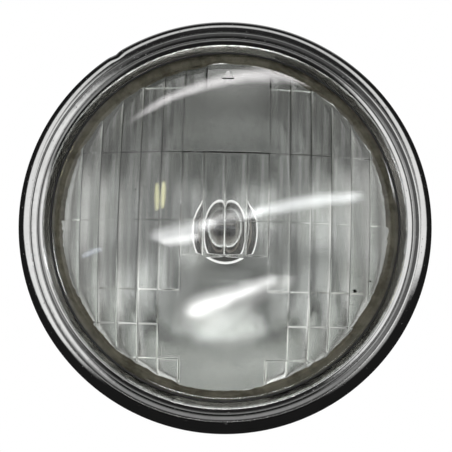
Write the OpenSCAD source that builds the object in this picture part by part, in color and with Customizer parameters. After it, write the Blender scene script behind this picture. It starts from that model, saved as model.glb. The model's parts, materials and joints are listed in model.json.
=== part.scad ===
// Round motorcycle headlight: a chromed rim, a domed glass lens with moulded flutes, a silvered
// reflector, a bulb in its holder, and the steel bucket that two side bolts carry.
// The lamp looks along -Y, +Z is up and +X is to the right as seen from the front.
// The side bolts' axis passes through the origin, midway between the lamp's front and back.
// Each piece is drawn with its own z axis pointing forward, and look_forward() turns it.

/* [Glass lens] */
// Radius of the glass over its flat flange
glass_r = 83.5; // [81:0.5:86]
// Thickness of the flat flange
flange_t = 4; // [3:0.5:5]
// Width of the flat flange outside the dome
flange_w = 4.5; // [4:0.25:5.5]
// Height of the dome above the flange
dome_sag = 21; // [18:0.5:24]
// Thickness of the dome between its outer and inner spheres
dome_t = 4; // [3.5:0.25:5]
// Distance of the moulded pattern's edge inside the dome's edge
pattern_inset = 4.4; // [4:0.1:8]
// Width of one flute, measured along the dome
flute_pitch = 9.65; // [9:0.05:10.5]
// Radius of the hollow of one flute
flute_r = 24; // [20:1:60]
// Depth of the ridges between flutes below the plain blocks
flute_cut = 0.2; // [0.1:0.05:0.4]
// Extra depth of every second row of flutes
row_cut = 0.3; // [0.1:0.05:0.5]
// Height of the line between the two middle rows
row_mid = 0.6; // [-2:0.2:2]
// Height of the two rows next to it, above and below
row_h = 30.6; // [28:0.2:32]
// Height of the top mark's triangle
mark_h = 5; // [4:0.5:6]
// How far the top mark stands out of the glass
mark_t = 0.5; // [0.3:0.1:0.8]

/* [Rim] */
// Sheet thickness of the rim
rim_wall = 0.8; // [0.6:0.1:1]
// How far the rim's lip covers the flange of the glass
lip_cover = 3.3; // [2.8:0.1:3.6]
// Width of the slope and the roll that lead up from the lip to the flat ring
lip_w = 5; // [4:0.25:6]
// Height of the roll's crest above the lip
lip_drop = 5; // [4:0.25:6]
// Radius of the roll at the top of the slope
roll_r = 3.1; // [2.5:0.1:3.5]
// Width of the flat ring between the roll and the bead
flat_w = 3.4; // [3:0.1:5]
// Depth of the flat ring below the crest of the roll
ring_step = 0.35; // [0.2:0.05:0.5]
// Width of the outer bead
bead_w = 6.4; // [6:0.1:7]
// Radius of the outer bead's section
bead_r = 8; // [7.5:0.25:9]
// Height of the bead's inner edge above the flat ring
bead_step = 0.5; // [0.3:0.1:0.8]
// Length of the skirt behind the widest circle
skirt_l = 8; // [6:0.5:10]
// Distance of the bucket's front edge behind the widest circle
bucket_tuck = 1; // [0.5:0.25:2]
// Width of the hem turned in at the back of the skirt
hem_w = 3.6; // [3:0.1:4.2]

/* [Lens gasket and seal] */
// Thickness of the rubber gasket between lip and glass
gasket_t = 1; // [0.8:0.1:1.5]
// How far the gasket shows inside the lip
gasket_show = 0.6; // [0.3:0.1:1]
// Thickness of the sealing compound between glass and reflector
seal_t = 1; // [0.6:0.1:1.5]
// Width of the seal
seal_w = 7.9; // [6:0.1:8.2]

/* [Reflector] */
// Width of the reflector's flange around its mouth
mouth_w = 8.5; // [8:0.25:10.5]
// Depth of the bowl from its mouth to its vertex
bowl_depth = 43.95; // [41:0.05:46]
// Sheet thickness of the reflector
refl_wall = 0.8; // [0.6:0.1:1]
// Radius of the neck around the bulb's seat
neck_r = 15; // [14.5:0.25:15.5]
// Radius of the hole that the bulb passes
bulb_hole_r = 10.3; // [10:0.1:11]
// Depth of the bulb's seat behind the bowl's vertex
seat_drop = 0.3; // [0:0.1:1.5]

/* [Bulb] */
// Radius of the bulb's glass
bulb_r = 9.5; // [8.8:0.1:9.8]
// Wall of the bulb's glass
bulb_wall = 0.7; // [0.5:0.1:0.9]
// How far the bulb's tip stands in front of the filament
bulb_tip = 11; // [10.5:0.5:14]
// Radius of the bulb's flange
bulb_flange_r = 12.5; // [12:0.1:12.7]
// Thickness of the bulb's flange
bulb_flange_t = 0.8; // [0.6:0.1:1.2]
// Radius of the bulb's cap
cap_r = 7.5; // [7:0.1:8]
// Length of the bulb's cap behind its flange
cap_l = 14; // [12:0.5:16]
// Wall of the cap around its insulator
cap_wall = 0.7; // [0.5:0.1:1]
// Depth of the insulator in the cap
cap_recess = 3; // [2:0.5:5]
// Radius of the solder contacts on the cap
contact_r = 1.3; // [1:0.1:1.5]
// How far the contacts stand out of the insulator
contact_out = 0.6; // [0.4:0.1:1]
// Distance of the contacts from the lamp's axis
contact_x = 3.1; // [2.6:0.1:3.6]
// Height of the cup that holds the stem in front of the flange
cup_h = 2; // [1.5:0.5:3]
// Radius of the flattened glass stem
stem_r = 5.6; // [5.4:0.1:6.5]
// Length of the glass stem
stem_l = 10; // [7:0.5:14]
// Radius of the wires that hold the filaments
wire_r = 0.35; // [0.25:0.05:0.5]
// Radius of a filament's coil
filament_r = 0.6; // [0.4:0.1:0.9]
// Half the distance between the wires that hold a filament
wire_x = 4.6; // [3.5:0.1:5]
// How far the wires pass the filaments
wire_tail = 1; // [0.5:0.25:2]
// Distance between the two filaments
filament_gap = 2.6; // [2:0.1:3.2]

/* [Bulb holder] */
// Outer radius of the holder's shell
shell_r = 15.4; // [15:0.1:15.6]
// Wall of the holder's shell
shell_wall = 1; // [0.8:0.1:1.2]
// Gap between the bulb's cap and the shell's front edge
shell_lip_gap = 3; // [2:0.25:4]
// Radius of the opening in the shell's back
shell_hole_r = 9; // [8:0.25:10]
// Distance of the insulator behind the bulb's contacts
pin_stroke = 2; // [1:0.25:3]
// Thickness of the holder's insulator
insulator_t = 4; // [3:0.5:6]
// Radius of the contact pins
pin_r = 1.5; // [1.2:0.1:1.8]
// Radius of the heads of the contact pins
pin_head_r = 2.1; // [2:0.1:2.5]
// How far the contact pins pass the insulator
pin_tail = 3; // [2:0.5:5]
// Length of the holder's spring
spring_l = 12; // [10:0.5:16]
// Turns of the holder's spring
spring_turns = 5; // [4:1:7]
// Radius of the spring's wire
spring_wire_r = 0.6; // [0.5:0.05:0.8]
// Gap between the holder's shell and the collar
collar_gap = 0.4; // [0.3:0.05:0.6]
// Wall of the collar behind the reflector
collar_wall = 0.8; // [0.6:0.1:1]
// Depth of the collar behind the reflector
collar_l = 9; // [7:0.5:11]
// How far the shell's tabs reach outside the collar's bore
tab_reach = 1.6; // [1.2:0.1:2]
// Thickness of the shell's tabs
tab_t = 1.2; // [0.8:0.1:1.5]
// Width of the shell's tabs
tab_w = 6; // [4:0.5:9]
// Width of a lead terminal
terminal_w = 6.3; // [4.8:0.1:6.5]
// Thickness of a lead terminal
terminal_t = 0.8; // [0.6:0.1:1]
// Length of a lead terminal
terminal_l = 9; // [7:0.5:11]
// Wall of the rubber boot
boot_wall = 1.6; // [1.2:0.1:2]
// Radius of the boot's opening for the leads
boot_hole_r = 7; // [5:0.5:9]
// Room behind the lead terminals inside the boot
boot_room = 2; // [1:0.5:4]

/* [Bucket] */
// Distance from the side bolts' axis to the front of the glass flange
bolt_setback = 43.6; // [41:0.2:48]
// Sheet thickness of the bucket
bucket_wall = 1; // [0.8:0.1:1.2]
// Gap between the rim's hem and the bucket
bucket_gap = 0.4; // [0.3:0.05:0.6]
// Radius of the bucket's rounded back
bucket_round = 60; // [50:1:62]
// Radius of the flat pad around each side bolt
pad_r = 15; // [14:0.5:18]
// How far the side pads stand out
pad_out = 1.8; // [1.5:0.1:2.4]
// Radius of the bucket's clearance holes for the side bolts
bolt_hole_r = 4.3; // [4.2:0.1:4.6]
// Wall radius of the side nuts' thread
bolt_thread_r = 3.4; // [3.2:0.05:3.6]
// Radius of the side nuts' flange
nut_flange_r = 12.5; // [11:0.5:13]
// Thickness of the side nuts' flange
nut_flange_t = 2.5; // [2:0.25:3.5]
// Length of the side nuts
nut_l = 10; // [8:0.5:12]
// Distance across the flats of the side nuts
nut_flats = 14; // [13:0.5:17]

/* [Grommets] */
// Radius of the opening for the leads in the back grommet
lead_hole_r = 8; // [7:0.5:10]
// Radius of the bucket's hole for the back grommet
grommet_hole_r = 11; // [10.5:0.25:13]
// Radius of the back grommet's flanges
grommet_flange_r = 14; // [13.5:0.5:16]
// Thickness of the back grommet's flanges
grommet_lip = 2; // [1.5:0.25:3]
// Distance of the drain from the side bolts' axis, towards the front
drain_front = 18; // [14:1:24]
// Radius of the drain's opening
drain_r = 2; // [1.5:0.25:2.5]
// Wall of the drain grommet in its hole
drain_wall = 1.2; // [1:0.1:1.5]
// Width of the drain grommet's flange outside its hole
drain_flange_w = 2.5; // [2:0.25:4]
// Thickness of the drain grommet's flanges
drain_flange_t = 1.4; // [1:0.1:2]

/* [Rim fixings] */
// Thickness of the strips behind the rim
strip_t = 1.2; // [1:0.1:1.4]
// Gap between the strips and the bucket
strip_gap = 1; // [0.8:0.1:1.2]
// Width of the screwed ears
ear_w = 14; // [12:0.5:18]
// Clock angle of the screwed ears, from the top
ear_angle = 120; // [110:1:130]
// Distance of the rim screws behind the rim's skirt
screw_behind = 6; // [5.5:0.5:9]
// Radius of the rim screws' shank
screw_r = 2.1; // [1.9:0.05:2.2]
// Radius of the rim screws' head
screw_head_r = 4.4; // [4:0.1:4.8]
// Height of the rim screws' head
screw_head_h = 2; // [1.8:0.1:2.6]
// Width of the slot in the head
slot_w = 1; // [0.8:0.1:1.2]
// How far the rim screws pass their nuts
screw_tail = 1; // [0.5:0.25:2]
// How far the ears reach past their nuts
ear_tail = 2; // [1:0.5:4]
// Thickness of the screws' washers
washer_t = 0.8; // [0.6:0.1:1]
// How far the washers show around the screw heads
washer_show = 0.6; // [0.4:0.1:1]
// Height of the ears' nuts
ear_nut_h = 4; // [3.5:0.25:5]
// Distance across the flats of the ears' nuts
ear_nut_flats = 8; // [7.5:0.5:9]
// Width of the top hook
hook_w = 18; // [14:1:24]
// How far the hook reaches past the bucket's wall
hook_reach = 1.5; // [1:0.1:1.8]

/* [Retaining clips] */
// Number of clips that hold the reflector in the rim
clips = 4; // [4:1:4]
// Thickness of a clip's spring sheet
clip_t = 0.9; // [0.7:0.1:1.1]
// Width of a clip
clip_w = 12; // [9:0.5:16]
// How far a clip's nose reaches over the reflector's flange
clip_grip = 4; // [3:0.25:5]
// Gap between the gasket and a clip's leg
clip_gap = 0.65; // [0.4:0.05:0.8]

/* [Clearances] */
// Clearance between pieces that seat in each other
fit = 0.15; // [0.1:0.05:0.25]
// Clearance of a hole around a screw or tongue
hole_fit = 0.5; // [0.4:0.05:0.7]

/* [Hidden] */
$fn = 96;
// How far a cutting shape passes the face that it cuts
cut = 1;
// How deep the rim's slope runs into its roll, so that they meet at a definite angle
slope_bite = 0.03;

// Levels along the lamp's axis, from the side bolts forward
glass_h = bolt_setback;
lip_h = glass_h + gasket_t;
crest_h = lip_h + lip_drop;
roll_c_h = crest_h - roll_r;
flat_h = crest_h - ring_step;
mouth_h = glass_h - flange_t - seal_t;
mouth_r = glass_r - mouth_w;
flange_back_h = mouth_h - refl_wall;
vertex_h = mouth_h - bowl_depth;
focal = mouth_r * mouth_r / (4 * bowl_depth);
focus_h = vertex_h + focal;
seat_h = vertex_h - seat_drop;
front_h = glass_h + dome_sag;
bucket_back_h = grommet_lip - front_h;

// Radii of the rim, from the glass outwards
lip_r = glass_r - lip_cover;
roll_c = lip_r + lip_w;
// Steepness of the slope, whose line passes the roll's centre at this distance
slope_off = roll_r - slope_bite;
roll_rise = lip_drop - roll_r;
roll_slope = atan(roll_rise / lip_w) + asin(slope_off / sqrt(lip_w * lip_w + roll_rise * roll_rise));
groove_r = roll_c + flat_w;
rim_r = groove_r + bead_w;
bead_c = rim_r - bead_r;
bead_h = flat_h + bead_step - sqrt(bead_r * bead_r - (groove_r - bead_c) * (groove_r - bead_c));
rim_back_h = bead_h - skirt_l;
hem_r = rim_r - hem_w;

// The bucket inside the rim's hem
bucket_r = hem_r - bucket_gap;
bucket_in_r = bucket_r - bucket_wall;
bucket_front_h = bead_h - bucket_tuck;
pad_x = bucket_r + pad_out;
pad_in_x = pad_x - bucket_wall;

// The dome's spheres share one centre on the axis
dome_r = glass_r - flange_w;
pattern_r = dome_r - pattern_inset;
dome_sphere = (dome_r * dome_r + dome_sag * dome_sag) / (2 * dome_sag);
dome_c_h = front_h - dome_sphere;
inner_sphere = dome_sphere - dome_t;

// Rows of the lens pattern: bottom, top, the grid lines that a plain block lies between, and
// whether the row is one of the deeper ones. A block from 0 to 0 is none.
block_end = 2 * row_h + row_mid;
ROWS = [
    [block_end, pattern_r, -1, 2, 1],
    [row_mid + row_h, block_end, -2, 2, 0],
    [row_mid, row_mid + row_h, 0, 0, 1],
    [row_mid - row_h / 2, row_mid, 0, 0, 0],
    [row_mid - row_h, row_mid - row_h / 2, -2, 2, 0],
    [row_mid - 1.5 * row_h, row_mid - row_h, -3, 3, 1],
    [row_mid - 2 * row_h, row_mid - 1.5 * row_h, -3, 3, 0],
    [-pattern_r, row_mid - 2 * row_h, -2, 2, 1]
];
// Flutes on each side of the middle line
side_flutes = ceil(pattern_r / flute_pitch);

// Strips that stand inside the bucket and reach the underside of the rim's flat ring
strip_out_r = bucket_in_r - strip_gap;
strip_in_r = strip_out_r - strip_t;
foot_h = flat_h - rim_wall;
foot_in_r = roll_c + fit;
screw_h = rim_back_h - screw_behind;
ear_end_h = screw_h - ear_nut_flats / 2 - ear_tail;
hook_h = screw_h;
clip_leg_r = glass_r + fit + gasket_t + clip_gap;
clip_foot_r = groove_r - fit;

// Bulb holder, from the bulb's flange backwards
collar_r = shell_r + collar_gap;
bulb_flange_back = seat_h - bulb_flange_t;
cap_back = bulb_flange_back - cap_l;
contact_back = cap_back - contact_out;
insulator_front = contact_back - pin_stroke;
insulator_back = insulator_front - insulator_t;
shell_floor = insulator_back - spring_l;
shell_back = shell_floor - shell_wall;
pin_back = insulator_back - pin_tail;
spring_r = shell_r - shell_wall - spring_wire_r - hole_fit;
earth_r = (shell_hole_r + shell_r) / 2;
// The tabs hook behind the collar's back edge
tab_back = seat_h - collar_l - tab_t - fit;
boot_in_r = collar_r + collar_wall + tab_reach;
boot_front = vertex_h + boot_in_r * boot_in_r / (4 * focal) - refl_wall - 2 * fit;
boot_back = shell_back - terminal_l - boot_room;

// Turns a piece drawn with z forward and y up into the lamp's frame
module look_forward() {
    rotate([90, 0, 0]) children();
}

// Turns a piece drawn at the top of the lamp to a clock angle
module at_clock(angle) {
    rotate([0, 0, -angle]) children();
}

// A strip of the given width, whose outline gives radius and level, at the top of the lamp
module strip(width) {
    rotate([90, 0, 90]) translate([0, 0, -width / 2]) linear_extrude(width) children();
}

// A piece drawn along z, laid along the radius at the top of the lamp at one level
module along_radius(level) {
    translate([0, 0, level]) rotate([-90, 0, 0]) children();
}

// A ring of rectangular section
module ring(inner, outer, back, front) {
    rotate_extrude() translate([inner, back]) square([outer - inner, front - back]);
}

// The rim's outline shrunk by its sheet, from the back of the skirt to the lip
module rim_outline(shrink) {
    intersection() {
        translate([bead_c, bead_h]) circle(r = bead_r - shrink);
        translate([groove_r, bead_h]) square([bead_w, bead_r]);
    }
    translate([groove_r, rim_back_h]) square([bead_w - shrink, skirt_l]);
    translate([roll_c - rim_wall / 2, rim_back_h])
        square([flat_w + rim_wall / 2, flat_h - shrink - rim_back_h]);
    intersection() {
        translate([roll_c, roll_c_h]) circle(r = roll_r - shrink);
        translate([roll_c - roll_r, roll_c_h]) square([roll_r, roll_r]);
    }
    polygon([
        [lip_r + shrink / sin(roll_slope), lip_h],
        [roll_c, lip_h],
        [roll_c, roll_c_h],
        [
            roll_c - (slope_off - shrink) * sin(roll_slope),
            roll_c_h + (slope_off - shrink) * cos(roll_slope)
        ]
    ]);
}

module rim() {
    color("gainsboro") look_forward() rotate_extrude() {
        difference() {
            rim_outline(0);
            rim_outline(rim_wall);
        }
        translate([hem_r, rim_back_h]) square([hem_w, rim_wall]);
    }
}

// Foot under the flat ring and a leg that runs back inside the bucket
module ear_outline(end_h) {
    translate([foot_in_r, foot_h - strip_t]) square([strip_out_r - foot_in_r, strip_t]);
    translate([strip_in_r, end_h]) square([strip_t, foot_h - end_h]);
}

module rim_ear(side) {
    color("silver") look_forward() at_clock(side * ear_angle) difference() {
        strip(ear_w) ear_outline(ear_end_h);
        along_radius(screw_h) translate([0, 0, strip_in_r - cut])
            cylinder(r = screw_r + hole_fit, h = strip_t + 2 * cut);
    }
}

module rim_hook() {
    color("silver") look_forward() strip(hook_w) {
        ear_outline(hook_h);
        translate([strip_in_r, hook_h]) square([bucket_r + hook_reach - strip_in_r, strip_t]);
    }
}

module ear_nut(side) {
    color("silver") look_forward() at_clock(side * ear_angle) along_radius(screw_h)
        translate([0, 0, strip_in_r - ear_nut_h]) difference() {
            cylinder(d = ear_nut_flats / cos(30), h = ear_nut_h, $fn = 6);
            translate([0, 0, -cut]) cylinder(r = screw_r + fit, h = ear_nut_h + 2 * cut);
        }
}

module rim_screw(side) {
    head_r = bucket_r + washer_t;
    tip_r = strip_in_r - ear_nut_h - screw_tail;
    color("silver") look_forward() at_clock(side * ear_angle) along_radius(screw_h) difference() {
        union() {
            translate([0, 0, tip_r]) cylinder(r = screw_r, h = head_r - tip_r);
            translate([0, 0, head_r]) cylinder(r = screw_head_r, h = screw_head_h);
        }
        translate([-screw_head_r - cut, -slot_w / 2, head_r + screw_head_h / 2])
            cube([2 * (screw_head_r + cut), slot_w, screw_head_h]);
    }
}

module screw_washer(side) {
    color("silver") look_forward() at_clock(side * ear_angle) along_radius(screw_h)
        ring(screw_r + fit, screw_head_r + washer_show, bucket_r, bucket_r + washer_t);
}

// Section of one row of flutes, drawn from the dome's centre: each flute is a hollow of flute_r
// between two ridges, and the part that a plain block takes is left out
module flute_row_outline(ridge, block_from, block_to) {
    turn = flute_pitch / ridge * 180 / PI;
    depth = ridge * cos(turn / 2) - sqrt(pow(flute_r, 2) - pow(ridge * sin(turn / 2), 2));
    for (k = [-side_flutes : side_flutes - 1])
        if (k < block_from || k >= block_to)
            rotate((k + 0.5) * turn) translate([depth, 0]) circle(r = flute_r);
}

// One row of flutes, turned about the horizontal line through the dome's centre
module flute_row(row) {
    ridge = inner_sphere + flute_cut + row[4] * row_cut;
    sweep = 64;
    intersection() {
        translate([0, 0, dome_c_h]) rotate([0, 90, 0]) rotate([0, 0, 180 - sweep / 2])
            rotate_extrude(angle = sweep) flute_row_outline(ridge, row[2], row[3]);
        translate([-glass_r, row[0], mouth_h])
            cube([2 * glass_r, row[1] - row[0], front_h - mouth_h]);
        translate([0, 0, mouth_h]) cylinder(r = pattern_r, h = front_h - mouth_h);
    }
}

module lens() {
    color([0.82, 0.88, 0.86, 0.5]) look_forward() {
        difference() {
            rotate_extrude() difference() {
                union() {
                    intersection() {
                        translate([0, dome_c_h]) circle(r = dome_sphere);
                        translate([0, mouth_h + seal_t]) square([dome_r, front_h]);
                    }
                    translate([0, mouth_h + seal_t]) square([glass_r, flange_t]);
                }
                translate([0, dome_c_h]) circle(r = inner_sphere);
                translate([-glass_r, -front_h]) square([glass_r, 3 * front_h]);
            }
            for (row = ROWS) flute_row(row);
        }
        top_mark();
    }
}

// A plain raised triangle that shows which way up the glass goes
module top_mark() {
    mark_y = (ROWS[0][0] + pattern_r) / 2;
    tilt = asin(mark_y / dome_sphere);
    translate([0, 0, dome_c_h]) rotate([-tilt, 0, 0])
        translate([0, 0, dome_sphere - dome_t / 2]) rotate([0, 0, 90])
            cylinder(d = mark_h * 4 / 3, h = dome_t / 2 + mark_t, $fn = 3);
}

// Rubber ring that lies on the flange of the glass and wraps its edge
module lens_gasket() {
    color("black") look_forward() rotate_extrude() {
        translate([lip_r - gasket_show, glass_h])
            square([glass_r + fit + gasket_t - lip_r + gasket_show, gasket_t]);
        translate([glass_r + fit, glass_h - flange_t]) square([gasket_t, flange_t + gasket_t]);
    }
}

module lens_seal() {
    color([0.25, 0.22, 0.16]) look_forward()
        ring(glass_r - seal_w, glass_r, mouth_h, mouth_h + seal_t);
}

// Level of the bowl at a radius
function bowl(r) = vertex_h + r * r / (4 * focal);

module reflector() {
    steps = 28;
    neck_out = neck_r + refl_wall;
    front = [for (i = [0 : steps]) let (r = neck_r + (mouth_r - neck_r) * i / steps) [r, bowl(r)]];
    back = [for (i = [steps : -1 : 0])
        let (r = neck_out + (mouth_r - neck_out) * i / steps) [r, bowl(r) - refl_wall]];
    flange = [[glass_r, mouth_h], [glass_r, flange_back_h]];
    seat_back = [[neck_out, seat_h], [bulb_hole_r, seat_h]];
    seat_front = [[bulb_hole_r, seat_h + refl_wall], [neck_r, seat_h + refl_wall]];
    color("whitesmoke") look_forward() rotate_extrude()
        polygon(concat(front, flange, back, seat_back, seat_front));
}

module retaining_clip(number) {
    color("darkgray") look_forward() at_clock((number - 0.5) * 360 / clips) strip(clip_w) {
        translate([clip_leg_r, foot_h - clip_t]) square([clip_foot_r - clip_leg_r, clip_t]);
        translate([clip_leg_r, flange_back_h - clip_t])
            square([clip_t, foot_h - flange_back_h + clip_t]);
        translate([glass_r - clip_grip, flange_back_h - clip_t])
            square([clip_leg_r - glass_r + clip_grip + clip_t, clip_t]);
    }
}

// Tube behind the reflector that locates the bulb and takes the holder
module bulb_collar() {
    color("gray") look_forward() {
        ring(collar_r, collar_r + collar_wall, seat_h - collar_l, seat_h);
        ring(bulb_flange_r + fit, collar_r + collar_wall, seat_h - bulb_flange_t, seat_h);
    }
}

module bulb_glass() {
    tube_end = focus_h + bulb_tip - bulb_r;
    color([0.9, 0.93, 0.93, 0.35]) look_forward() difference() {
        union() {
            translate([0, 0, seat_h]) cylinder(r = bulb_r, h = tube_end - seat_h);
            translate([0, 0, tube_end]) sphere(r = bulb_r);
        }
        translate([0, 0, seat_h - cut])
            cylinder(r = bulb_r - bulb_wall, h = tube_end - seat_h + cut);
        translate([0, 0, tube_end]) sphere(r = bulb_r - bulb_wall);
    }
}

module bulb_base() {
    color("darkkhaki") look_forward() difference() {
        union() {
            translate([0, 0, bulb_flange_back]) cylinder(r = bulb_flange_r, h = bulb_flange_t);
            translate([0, 0, cap_back]) cylinder(r = cap_r, h = cap_l);
            translate([0, 0, seat_h]) cylinder(r = bulb_r - bulb_wall - fit, h = cup_h);
        }
        translate([0, 0, cap_back - cut]) cylinder(r = cap_r - cap_wall, h = cap_recess + cut);
    }
}

module bulb_insulator() {
    color("black") look_forward()
        translate([0, 0, cap_back]) cylinder(r = cap_r - cap_wall - fit / 2, h = cap_recess);
}

module bulb_contact(side) {
    color("lightgray") look_forward()
        translate([side * contact_x, 0, contact_back]) cylinder(r = contact_r, h = contact_out);
}

module bulb_stem() {
    color([0.85, 0.9, 0.9, 0.5]) look_forward() intersection() {
        translate([0, 0, seat_h + cup_h]) cylinder(r = stem_r, h = stem_l);
        translate([-stem_r, -stem_r / 2, seat_h + cup_h]) cube([2 * stem_r, stem_r, stem_l]);
    }
}

// Each filament lies across the lamp, from wire to wire
module filament(height) {
    half = wire_x - wire_r;
    color("dimgray") look_forward()
        translate([-half, height, focus_h]) rotate([0, 90, 0]) cylinder(r = filament_r, h = 2 * half);
}

// Wires 1 and 2 hold the main filament, 3 and 4 the dip filament above it
module filament_wire(number) {
    side = number == 1 || number == 3 ? -1 : 1;
    height = number == 1 || number == 2 ? 0 : filament_gap;
    foot = seat_h + cup_h + stem_l;
    color("silver") look_forward()
        translate([side * wire_x, height, foot]) cylinder(r = wire_r, h = focus_h + wire_tail - foot);
}

module socket_shell() {
    tube_front = bulb_flange_back - shell_wall;
    color("goldenrod") look_forward() {
        ring(cap_r + shell_lip_gap, shell_r, tube_front, bulb_flange_back);
        ring(shell_r - shell_wall, shell_r, shell_back, bulb_flange_back);
        ring(shell_hole_r, shell_r, shell_back, shell_floor);
        for (turn = [0 : 120 : 240]) rotate([0, 0, turn]) intersection() {
            ring(shell_r - shell_wall / 2, collar_r + tab_reach, tab_back, tab_back + tab_t);
            translate([-tab_w / 2, 0, tab_back]) cube([tab_w, 2 * shell_r, tab_t]);
        }
    }
}

module socket_insulator() {
    color("saddlebrown") look_forward() difference() {
        translate([0, 0, insulator_back])
            cylinder(r = shell_r - shell_wall - fit, h = insulator_t);
        for (side = [-1, 1])
            translate([side * contact_x, 0, insulator_back - cut])
                cylinder(r = pin_r + fit / 2, h = insulator_t + 2 * cut);
    }
}

module contact_pin(side) {
    color("gold") look_forward() translate([side * contact_x, 0, 0]) {
        translate([0, 0, pin_back]) cylinder(r = pin_r, h = insulator_front - pin_back);
        translate([0, 0, insulator_front])
            cylinder(r = pin_head_r, h = contact_back - insulator_front);
    }
}

// A round wire wound about z, as one closed mesh
module coil(mean_r, wire, height, turns) {
    sides = 8;
    steps = 20 * turns;
    rise = height - 2 * wire;
    points = [for (i = [0 : steps], j = [0 : sides - 1])
        let (a = 360 * turns * i / steps, b = 360 * j / sides, r = mean_r + wire * cos(b))
        [r * cos(a), r * sin(a), wire + rise * i / steps + wire * sin(b)]];
    walls = [for (i = [0 : steps - 1], j = [0 : sides - 1])
        let (n = (j + 1) % sides)
        [i * sides + j, (i + 1) * sides + j, (i + 1) * sides + n, i * sides + n]];
    start = [[for (j = [0 : sides - 1]) j]];
    finish = [[for (j = [sides - 1 : -1 : 0]) steps * sides + j]];
    polyhedron(concat(points), concat(walls, start, finish), convexity = 10);
}

module socket_spring() {
    color("silver") look_forward()
        translate([0, 0, shell_floor]) coil(spring_r, spring_wire_r, spring_l, spring_turns);
}

module terminal(side) {
    color("lightgray") look_forward()
        translate([side * contact_x - terminal_t / 2, -terminal_w / 2, shell_back - terminal_l])
            cube([terminal_t, terminal_w, pin_back - shell_back + terminal_l]);
}

module terminal_earth() {
    color("lightgray") look_forward()
        translate([-terminal_w / 2, -earth_r - terminal_t / 2, shell_back - terminal_l])
            cube([terminal_w, terminal_t, terminal_l]);
}

// Rubber cover over the bulb holder, open in the middle for the leads
module dust_boot() {
    color("black") look_forward() {
        ring(boot_in_r, boot_in_r + boot_wall, boot_back, boot_front);
        ring(boot_hole_r, boot_in_r + boot_wall, boot_back, boot_back + boot_wall);
    }
}

// The bucket's outline: a straight wall, a round shoulder and a flat back
module bucket_outline(shrink) {
    shoulder_c = bucket_r - bucket_round;
    shoulder_h = bucket_back_h + bucket_round;
    intersection() {
        translate([shoulder_c, shoulder_h]) circle(r = bucket_round - shrink);
        translate([shoulder_c, bucket_back_h]) square([bucket_round, bucket_round]);
    }
    translate([0, bucket_back_h + shrink]) square([shoulder_c, bucket_front_h - bucket_back_h]);
    translate([0, shoulder_h]) square([bucket_r - shrink, bucket_front_h - shoulder_h]);
}

// A piece drawn along z, turned to lie along x on one side of the lamp
module at_side(side) {
    rotate([0, 90 * side, 0]) children();
}

module bucket() {
    color([0.12, 0.12, 0.13]) look_forward() difference() {
        union() {
            rotate_extrude() bucket_outline(0);
            for (side = [-1, 1]) at_side(side) cylinder(r = pad_r, h = pad_x);
        }
        rotate_extrude() bucket_outline(bucket_wall);
        translate([0, 0, bucket_front_h - cut]) cylinder(r = bucket_in_r, h = 3 * cut);
        for (side = [-1, 1]) {
            at_side(side) cylinder(r = pad_r - bucket_wall, h = pad_in_x);
            at_side(side) cylinder(r = bolt_hole_r, h = pad_x + cut);
            at_clock(side * ear_angle) along_radius(screw_h)
                translate([0, 0, bucket_in_r - 2 * cut])
                    cylinder(r = screw_r + hole_fit, h = bucket_wall + 4 * cut);
        }
        translate([-hook_w / 2 - hole_fit, strip_out_r, hook_h - hole_fit])
            cube([hook_w + 2 * hole_fit, bucket_r - strip_out_r + cut, strip_t + 2 * hole_fit]);
        translate([0, 0, bucket_back_h - cut])
            cylinder(r = grommet_hole_r, h = bucket_wall + 2 * cut);
        along_drain() translate([0, 0, bucket_in_r - 2 * cut])
            cylinder(r = drain_r + drain_wall, h = bucket_wall + 4 * cut);
    }
}

module side_nut(side) {
    color("silver") look_forward() at_side(side) difference() {
        union() {
            translate([0, 0, pad_in_x - nut_flange_t]) cylinder(r = nut_flange_r, h = nut_flange_t);
            translate([0, 0, pad_in_x - nut_l])
                cylinder(d = nut_flats / cos(30), h = nut_l - nut_flange_t, $fn = 6);
        }
        translate([0, 0, pad_in_x - nut_l - cut]) cylinder(r = bolt_thread_r, h = nut_l + 2 * cut);
    }
}

// Two flanges and a waist that fills the hole in the bucket's back
module wire_grommet() {
    color("black") look_forward() {
        ring(lead_hole_r, grommet_flange_r, bucket_back_h - grommet_lip, bucket_back_h);
        ring(lead_hole_r, grommet_hole_r - fit / 2, bucket_back_h, bucket_back_h + bucket_wall);
        ring(lead_hole_r, grommet_flange_r, bucket_back_h + bucket_wall,
            bucket_back_h + bucket_wall + grommet_lip);
    }
}

// A piece drawn along z, pointing down out of the lowest part of the bucket
module along_drain() {
    translate([0, 0, drain_front]) rotate([90, 0, 0]) children();
}

module drain_grommet() {
    flange_r = drain_r + drain_wall + drain_flange_w;
    inner_face = sqrt(bucket_in_r * bucket_in_r - flange_r * flange_r);
    waist_r = drain_r + drain_wall - fit / 2;
    color("black") look_forward() along_drain() {
        ring(drain_r, waist_r, inner_face - drain_flange_t, bucket_r + drain_flange_t);
        ring(drain_r, flange_r, bucket_r, bucket_r + drain_flange_t);
        ring(drain_r, flange_r, inner_face - drain_flange_t, inner_face);
    }
}

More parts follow.
